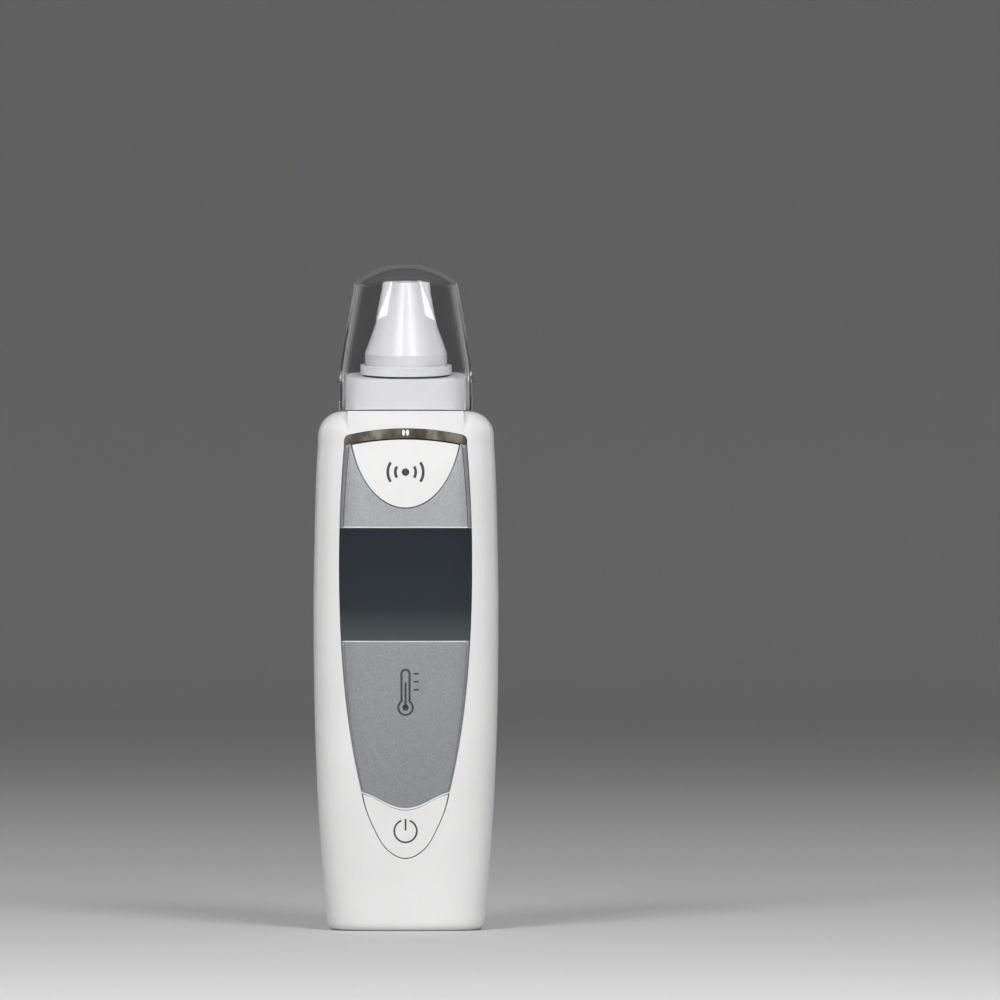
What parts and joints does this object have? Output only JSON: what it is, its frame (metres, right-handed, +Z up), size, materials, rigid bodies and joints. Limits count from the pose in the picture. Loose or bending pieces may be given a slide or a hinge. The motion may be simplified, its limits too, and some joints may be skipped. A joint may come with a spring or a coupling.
{
  "type": "ear thermometer",
  "caption": "Upright infrared ear thermometer with a clear probe cap, scan and power buttons, a dark display window and a battery door.",
  "frame": {"origin": "middle of the footprint, on the surface that the base stands on", "axes": "+Z up along the casing to the cap, +Y from the display to the battery door, +X to the right seen from the front"},
  "size_m": [0.0346, 0.0241, 0.1246],
  "materials": {
    "white_abs": "satin",
    "silver_face": "satin metallic paint",
    "dark_window": "gloss",
    "light_guide": "clear",
    "clear_cap": "clear",
    "lens": "polished",
    "lcd": "gloss",
    "white_inner": "matte",
    "black_plastic": "matte",
    "key_plastic": "matte",
    "rubber_grey": "matte",
    "board_green": "satin",
    "steel": "brushed",
    "holder_metal": "machined",
    "gold": "polished",
    "ceramic": "matte",
    "led": "clear",
    "cell_jacket": "gloss"
  },
  "bodies": {
    "casing": {"front_shell": "white_abs", "rear_shell": "white_abs", "probe_collar": "white_abs", "probe_nozzle": "white_abs", "panel_upper": "silver_face", "panel_lower": "silver_face", "lcd_window": "dark_window", "light_bar": "light_guide", "probe_window": "lens", "lcd_glass": "lcd", "lcd_backlight": "white_inner", "sensor_ribbon": "white_inner", "lcd_frame": "black_plastic", "scan_switch": "black_plastic", "power_switch": "black_plastic", "microcontroller": "black_plastic", "buzzer": "black_plastic", "nozzle_gasket": "rubber_grey", "zebra_strip": "rubber_grey", "main_board": "board_green", "sensor_board": "board_green", "timing_crystal": "steel", "case_screws": "steel", "board_screws": "steel", "sensor_can": "steel", "sensor_leads": "steel", "battery_contact_minus": "steel", "battery_contact_plus": "steel", "battery_bridge": "steel", "sensor_holder": "holder_metal", "waveguide": "gold", "capacitors": "ceramic", "alarm_leds": "led", "battery_cell_a": "cell_jacket", "battery_cell_b": "cell_jacket"},
    "cap": {"probe_cap": "clear_cap"},
    "scan_key": {"scan_button": "white_abs", "scan_plunger": "key_plastic"},
    "power_key": {"power_button": "white_abs", "power_plunger": "key_plastic"},
    "door": {"battery_door": "white_abs"}
  },
  "joints": [
    {"name": "cap_pull", "type": "slide", "parent": "casing", "child": "cap", "axis": [0, 0, 1], "range_m": [0, 0.045]},
    {"name": "scan_press", "type": "slide", "parent": "casing", "child": "scan_key", "axis": [0, 1, 0], "range_m": [0, 0.0006], "stiffness_N_per_m": 600, "springref_m": -0.0005},
    {"name": "power_press", "type": "slide", "parent": "casing", "child": "power_key", "axis": [0, 1, 0], "range_m": [0, 0.0004], "stiffness_N_per_m": 600, "springref_m": -0.0005},
    {"name": "door_open", "type": "hinge", "parent": "casing", "child": "door", "pos_m": [0, 0.012, 0.056], "axis": [1, 0, 0], "range_deg": [0, 80]}
  ]
}
